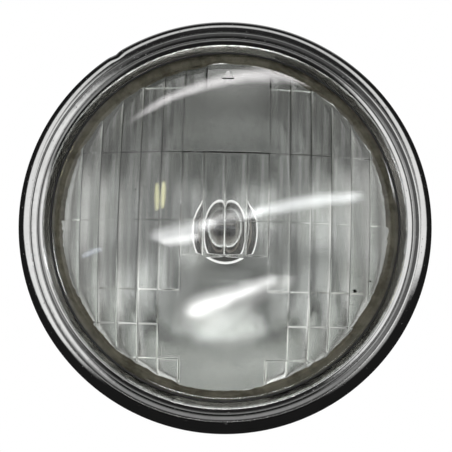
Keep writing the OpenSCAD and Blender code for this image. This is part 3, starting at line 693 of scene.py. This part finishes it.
def make_lens(glass):
    """The glass: pattern inside, then back around the flange and over the dome to its tip."""
    segments = 320
    inner_edge_r = math.sqrt(INNER_SPHERE ** 2 - (FLANGE_BACK_H - DOME_C) ** 2)
    columns, rows = grid_lines()
    points = []
    for x in columns:
        for z in rows:
            if math.hypot(x, z) < PATTERN_R - 0.75:
                points.append((x, z))
    ring_radii = [PATTERN_R - 0.4, PATTERN_R, PATTERN_R + 0.4, PATTERN_R + 1.6, inner_edge_r]
    edges = []
    for radius in ring_radii:
        start = len(points)
        for j in range(segments):
            turn = 2 * math.pi * j / segments
            points.append((radius * math.sin(turn), radius * math.cos(turn)))
            edges.append((start + j, start + (j + 1) % segments))
    flat, _, faces = geometry.delaunay_2d_cdt([Vector(p) for p in points], edges, [], 1, 1e-5)[:3]

    bm = bmesh.new()
    verts = [bm.verts.new(inner_point(p.x, p.y)) for p in flat]
    for face in faces:
        bm.faces.new([verts[i] for i in face])

    bead = 0.5
    profile = [(inner_edge_r, FLANGE_BACK_H)]
    profile += arc(GLASS_R - bead, FLANGE_BACK_H + bead, bead, -90, 0, 4)
    profile += arc(GLASS_R - bead, FLANGE_H - bead, bead, 0, 90, 4)
    edge_angle = math.degrees(math.asin(DOME_R / DOME_SPHERE))
    profile += [(DOME_R + 0.6, FLANGE_H), (DOME_R + 0.15, FLANGE_H + 0.12)]
    dome_steps = 52
    for i in range(dome_steps):
        a = math.radians(edge_angle * (1 - i / dome_steps) * 0.998)
        profile.append((DOME_SPHERE * math.sin(a), DOME_C + DOME_SPHERE * math.cos(a)))
    rings = []
    for radius, level in profile:
        ring = [bm.verts.new(place(radius, level, 2 * math.pi * j / segments)) for j in range(segments)]
        rings.append(ring)
    for near, far in zip(rings, rings[1:]):
        join_rings(bm, near, far)
    tip = bm.verts.new((0, -FRONT_H * MM, 0))
    for j in range(segments):
        bm.faces.new((rings[-1][j], rings[-1][(j + 1) % segments], tip))
    bmesh.ops.remove_doubles(bm, verts=bm.verts, dist=2e-6)
    bmesh.ops.recalc_face_normals(bm, faces=bm.faces)
    finish_bmesh(bm, 40)
    lens = to_object("headlight_lens", bm)
    add_mark(lens)
    adopt(lens, glass, "lens_glass", "lens")
    return lens


# Reflector

def bowl_level(radius):
    """Level of the parabola at a radius."""
    return VERTEX_H + radius ** 2 / (4 * FOCAL)


def make_reflector(silver):
    """The seat and neck for the bulb, the bowl, and its flat edge under the glass."""
    steps = 60
    neck_out = NECK_R + REFL_WALL
    profile = [(BULB_HOLE_R, SEAT_H), (BULB_HOLE_R, SEAT_H + REFL_WALL)]
    profile += [(NECK_R, SEAT_H + REFL_WALL)]
    # The edge between neck and bowl is rounded
    tilt = math.atan(NECK_R / (2 * FOCAL))
    meet_r = NECK_R + NECK_ROUND * (1 - math.sin(tilt))
    round_h = bowl_level(meet_r) - NECK_ROUND * math.cos(tilt)
    profile += arc(NECK_R + NECK_ROUND, round_h, NECK_ROUND, 180, 90 + math.degrees(tilt), 8)
    for i in range(1, steps + 1):
        radius = meet_r + (MOUTH_R - meet_r) * i / steps
        profile.append((radius, bowl_level(radius)))
    profile += [(GLASS_R, MOUTH_H), (GLASS_R, MOUTH_H - REFL_WALL)]
    for i in range(steps, -1, -2):
        radius = neck_out + (MOUTH_R - neck_out) * i / steps
        profile.append((radius, bowl_level(radius) - REFL_WALL))
    profile += [(neck_out, SEAT_H)]
    bowl = lathe("reflector_bowl", profile, 192, sharp=30)
    adopt(bowl, silver, "silvering", "reflector")
    return bowl


# Seal and gasket

def seal_edge(radius, level, turn):
    """The seal's inner edge is ragged, where the compound squeezed out."""
    if radius > LIP_R:
        return radius, level
    here = Vector((math.cos(turn) * 9, math.sin(turn) * 9, 0.0))
    rag = noise.noise(here) + 0.6 * noise.noise(here * 4)
    return radius + SEAL_RAG * rag, level


def make_seal(material):
    low, high = MOUTH_H + FIT, FLANGE_BACK_H - FIT
    profile = [(SEAL_R + 0.1, low), (SEAL_R, low + 0.2), (SEAL_R + 0.8, high)]
    profile += [(GLASS_R, high), (GLASS_R, low)]
    seal = lathe("glass_seal", profile, 480, shift=seal_edge)
    adopt(seal, material, "sealing_compound", "lens_seal")


def make_gasket(material):
    inner = LIP_R - 0.6
    outer = GLASS_R + 1.15
    profile = [(inner, FLANGE_H + FIT), (inner - 0.05, FLANGE_H + 0.5), (inner + 0.2, LIP_H - FIT)]
    profile += [(outer - 0.3, LIP_H - FIT), (outer, LIP_H - 0.4), (outer, FLANGE_BACK_H)]
    profile += [(GLASS_R + 0.15, FLANGE_BACK_H), (GLASS_R + 0.15, FLANGE_H + FIT)]
    gasket = lathe("lens_rubber_ring", profile, 256)
    adopt(gasket, material, "rubber", "lens_gasket")


# Bulb

def make_bulb(glass):
    """A glass tube with a round end."""
    end_h = BULB_TIP_H - BULB_R
    outer = [(BULB_R, SEAT_H + 0.02)] + arc(0, end_h, BULB_R, 0, 89.5, 22)
    inner = arc(0, end_h, BULB_R - BULB_WALL, 89.3, 0, 20) + [(BULB_R - BULB_WALL, SEAT_H + 0.02)]
    bulb = lathe("bulb_envelope", outer + inner, 96, sharp=60)
    adopt(bulb, glass, "clear_glass", "bulb_glass")


# Stage

def sky():
    """The studio: white to the camera, an arch of light for the chrome, and panels for the inside."""
    world = bpy.data.worlds.new("studio")
    bpy.context.scene.world = world
    world.use_nodes = True
    g = Graph(world.node_tree)
    coords = g.add("TexCoord").outputs["Generated"]
    x, y, z = g.split(coords)
    # Degrees away from straight ahead of the lamp, and the clock direction around its axis
    ahead = g.times(g.math("ARCCOSINE", g.times(y, -1.0)), 180 / math.pi)
    span = g.math("MAXIMUM", g.math("SQRT", g.plus(g.times(x, x), g.times(z, z))), 1e-4)
    up = g.math("DIVIDE", z, span)
    right = g.math("DIVIDE", x, span)

    # The arch stands overhead and leans forward towards both sides
    off = g.math("ABSOLUTE", g.math("SUBTRACT", ahead, g.plus(g.times(up, 29.0), 55.0)))
    half = g.math("SUBTRACT", 23.0, g.times(g.math("ABSOLUTE", up), 14.0))
    across = g.band(g.math("SUBTRACT", off, half), 5.0, -5.0)
    foot = g.band(g.math("SUBTRACT", up, g.band(right, -0.1, 0.1, -0.62, -0.2)), -0.12, 0.14)
    high = g.math("MAXIMUM", up, 0.0)
    arch = g.times(across, foot, g.math("SUBTRACT", 0.95, g.times(high, high, 0.28)))
    behind = g.times(g.band(up, 0.72, 0.95), g.band(ahead, 118, 142), 0.42)
    front = g.times(g.band(ahead, 24, 8), g.band(up, -0.7, 0.2, 0.28, 0.10))
    front_right = g.times(g.band(right, 0.5, 0.9), g.band(ahead, 12, 22), g.band(ahead, 50, 38), 0.38)
    front_left = g.times(g.band(right, -0.45, -0.75), g.band(ahead, 6, 12), g.band(ahead, 60, 40))
    front_left = g.times(front_left, g.band(up, -0.8, -0.5), 0.95)
    chrome_sees = CHROME_BASE
    for light in (arch, behind, front, front_right, front_left):
        chrome_sees = g.math("MAXIMUM", light, chrome_sees)

    # Everything else gets the light of soft panels
    plain = PANEL_BASE
    for away, clock, width, strength in PANELS:
        dot = g.add("VectorMath")
        dot.operation = "DOT_PRODUCT"
        g.tree.links.new(coords, dot.inputs[0])
        a, c = math.radians(away), math.radians(clock)
        dot.inputs[1].default_value = (math.sin(a) * math.sin(c), -math.cos(a), math.sin(a) * math.cos(c))
        core = math.cos(math.radians(width * 0.25))
        edge = math.cos(math.radians(width * 1.25))
        plain = g.plus(g.band(dot.outputs["Value"], edge, core, 0.0, strength), plain)
    bars = g.band(g.math("SINE", g.times(x, BAR_SPACING)), -0.3, 0.3, -0.4, 0.4)
    plain = g.times(plain, g.plus(g.times(bars, g.band(g.math("ABSOLUTE", x), 0.1, 0.3)), 1.0))
    path = g.add("LightPath").outputs
    mirrored = g.times(path["Is Glossy Ray"], path["Is Reflection Ray"])
    level = g.plus(g.times(chrome_sees, mirrored), g.times(plain, g.math("SUBTRACT", 1.0, mirrored)))
    level = g.math("MAXIMUM", level, path["Is Camera Ray"])
    g.wire(level, g.tree.nodes["Background"].inputs["Strength"])
    g.tree.nodes["Background"].inputs["Color"].default_value = (1.0, 1.0, 1.0, 1.0)


def camera_axes():
    """The camera's place and its right, up and backward directions."""
    target = Vector((0, -BEAD_H * MM, 0))
    away = Vector((math.sin(CAM_RIGHT), -math.cos(CAM_RIGHT) * math.cos(CAM_BELOW), -math.sin(CAM_BELOW)))
    away.normalize()
    level_right = (-away).cross(Vector((0, 0, 1))).normalized()
    level_up = level_right.cross(-away)
    right = level_right * math.cos(CAM_ROLL) + level_up * math.sin(CAM_ROLL)
    up = level_up * math.cos(CAM_ROLL) - level_right * math.sin(CAM_ROLL)
    slide_right = (PHOTO_PX / 2 - RIM_PX[0]) / PX_PER_MM * MM
    slide_up = (RIM_PX[1] - PHOTO_PX / 2) / PX_PER_MM * MM
    spot = target + away * CAM_DISTANCE + right * slide_right + up * slide_up
    return spot, right, up, away


def mirrored_spot(px, py, reach):
    """Where a ray through a pixel of the photograph goes after it mirrors off the glass dome."""
    spot, right, up, away = camera_axes()
    half = PHOTO_PX / 2
    per_px = MM / PX_PER_MM / CAM_DISTANCE
    ray = (-away + right * ((px - half) * per_px) + up * ((half - py) * per_px)).normalized()
    centre = Vector((0, -DOME_C * MM, 0))
    from_centre = spot - centre
    along = from_centre.dot(ray)
    inside = from_centre.length_squared - (DOME_SPHERE * MM) ** 2
    hit = spot + ray * (-along - math.sqrt(along ** 2 - inside))
    normal = (hit - centre).normalized()
    return hit + (ray - 2 * ray.dot(normal) * normal) * reach


def streak_lamp(name, colour, strength, points, lens):
    """A soft ribbon of light that only the lens mirrors."""
    verts = []
    for i, (px, py, half) in enumerate(points):
        before = points[max(0, i - 1)]
        after = points[min(len(points) - 1, i + 1)]
        run = Vector((after[0] - before[0], after[1] - before[1])).normalized()
        for side in (-1, 1):
            verts.append(mirrored_spot(px - side * run.y * half, py + side * run.x * half, STREAK_REACH))
    faces = [(2 * i, 2 * i + 1, 2 * i + 3, 2 * i + 2) for i in range(len(points) - 1)]
    ribbon = mesh_object(name, verts, faces)
    uv = ribbon.data.uv_layers.new(name="along")
    for loop in ribbon.data.loops:
        step, side = divmod(loop.vertex_index, 2)
        uv.data[loop.index].uv = (step / (len(points) - 1), side)
    material = bpy.data.materials.new(name)
    material.use_nodes = True
    g = Graph(material.node_tree)
    along, over, _ = g.split(g.add("UVMap").outputs[0])
    ends = g.times(g.band(along, 0.0, 0.15), g.band(along, 1.0, 0.85))
    soft = g.times(g.band(over, 0.0, 0.5), g.band(over, 1.0, 0.5), ends)
    glow = g.add("Emission")
    glow.inputs["Color"].default_value = (*colour, 1.0)
    g.wire(g.times(soft, strength), glow.inputs["Strength"])
    both = g.add("AddShader")
    g.tree.links.new(glow.outputs[0], both.inputs[0])
    g.tree.links.new(g.add("BsdfTransparent").outputs[0], both.inputs[1])
    g.tree.links.new(both.outputs[0], g.tree.nodes["Material Output"].inputs["Surface"])
    ribbon.data.materials.append(material)
    ribbon.visible_camera = False
    ribbon.visible_diffuse = False
    ribbon.visible_transmission = False
    ribbon.visible_shadow = False
    only_lens = bpy.data.collections.new(name + "_sees")
    only_lens.objects.link(lens)
    ribbon.light_linking.receiver_collection = only_lens


def floor():
    """A pale floor that fades into the white background."""
    low = CAD_BOX[0][2] - FLOOR_DROP
    ring = 96
    verts = [(0, 0, low)]
    for j in range(ring):
        turn = 2 * math.pi * j / ring
        verts.append((FLOOR_R * math.cos(turn), FLOOR_R * math.sin(turn), low))
    faces = [(0, 1 + j, 1 + (j + 1) % ring) for j in range(ring)]
    ground = mesh_object("floor", verts, faces, smooth=False)
    material = bpy.data.materials.new("floor_pale")
    material.use_nodes = True
    g = Graph(material.node_tree)
    base = g.tree.nodes["Principled BSDF"]
    base.inputs["Base Color"].default_value = (0.85, 0.85, 0.85, 1.0)
    base.inputs["Roughness"].default_value = 0.9
    white = g.add("Emission")
    white.inputs["Strength"].default_value = 1.0
    length = g.add("VectorMath")
    length.operation = "LENGTH"
    g.tree.links.new(g.add("TexCoord").outputs["Object"], length.inputs[0])
    fade = g.band(length.outputs["Value"], FLOOR_R * 0.2, FLOOR_R * 0.8, 0.45, 1.0)
    mixer = g.add("MixShader")
    for source, socket in zip((fade, base.outputs[0], white.outputs[0]), mixer.inputs):
        g.tree.links.new(source, socket)
    g.tree.links.new(mixer.outputs[0], g.tree.nodes["Material Output"].inputs["Surface"])
    ground.data.materials.append(material)
    ground.visible_glossy = False
    ground.visible_transmission = False


def camera():
    """The photograph's camera."""
    spot, right, up, away = camera_axes()
    data = bpy.data.cameras.new("photo_camera")
    cam = link(bpy.data.objects.new("photo_camera", data))
    basis = Matrix((right, up, away)).transposed()
    cam.matrix_world = Matrix.Translation(spot) @ basis.to_4x4()
    data.sensor_width = 36.0
    data.lens = data.sensor_width * CAM_DISTANCE / (PHOTO_PX / PX_PER_MM * MM)
    data.clip_start = 0.01
    bpy.context.scene.camera = cam


def panel_lamp(name, spot, size, power):
    """A square lamp that shines at the object and isn't seen itself."""
    data = bpy.data.lights.new(name, "AREA")
    data.size = size
    data.energy = power
    lamp = link(bpy.data.objects.new(name, data))
    lamp.location = spot
    lamp.rotation_euler = Vector(spot).to_track_quat("Z", "Y").to_euler()
    lamp.visible_glossy = False
    lamp.visible_transmission = False
    lamp.visible_camera = False
    return lamp


def bowl_lamp(bowl):
    """Soft light that reaches the bowl through the glass, which would otherwise shade it."""
    lamp = panel_lamp(*BOWL_LAMP)
    only_bowl = bpy.data.collections.new("bowl_panel_sees")
    only_bowl.objects.link(bowl)
    lamp.light_linking.receiver_collection = only_bowl
    lamp.light_linking.blocker_collection = only_bowl


def dress_nodes():
    """Finishes for the CAD solids that stay."""
    finishes = {
        "zinc": metal("zinc_plate", (0.62, 0.62, 0.58), (0.34, 0.31, 0.25)),
        "spring_steel": metal("spring_sheet", (0.36, 0.36, 0.37), (0.20, 0.17, 0.14)),
        "brass": metal("dull_brass", (0.60, 0.45, 0.20), (0.30, 0.21, 0.10)),
        "tungsten": metal("tungsten_coil", (0.22, 0.22, 0.23), (0.12, 0.12, 0.12), (0.35, 0.55)),
        "solder": metal("tinned_metal", (0.56, 0.56, 0.57), (0.36, 0.35, 0.34), (0.3, 0.5)),
        "rubber": rubber(),
        "clear_glass": clear_glass(),
        "bakelite": resin(),
        "black_paint": enamel(),
        "chrome": rim_chrome(),
        "lens_glass": lens_glass(),
        "silvering": bowl_silver(),
        "sealing_compound": compound(),
    }
    slots = {row["node"]: row["material_slot"] for row in frame["record"]["subparts"]}
    for name, obj in frame["nodes"].items():
        paint(obj, finishes[slots[name]])
    # The bulb's cap gets a dark grey metal in place of the brass of its slot
    dark_grey_cap = metal("dark_grey_cap", (0.30, 0.28, 0.25), (0.12, 0.11, 0.09), (0.25, 0.45))
    paint(frame["nodes"]["bulb_base"], dark_grey_cap)
    return finishes


def main():
    bpy.context.scene.view_settings.view_transform = "Standard"
    camera()
    sky()
    for lamp in LAMPS:
        panel_lamp(*lamp)
    floor()
    finishes = dress_nodes()
    make_rim(finishes["chrome"])
    lens = make_lens(finishes["lens_glass"])
    for streak in STREAKS:
        streak_lamp(*streak, lens)
    bowl_lamp(make_reflector(finishes["silvering"]))
    make_seal(finishes["sealing_compound"])
    make_gasket(finishes["rubber"])
    make_bulb(finishes["clear_glass"])


main()
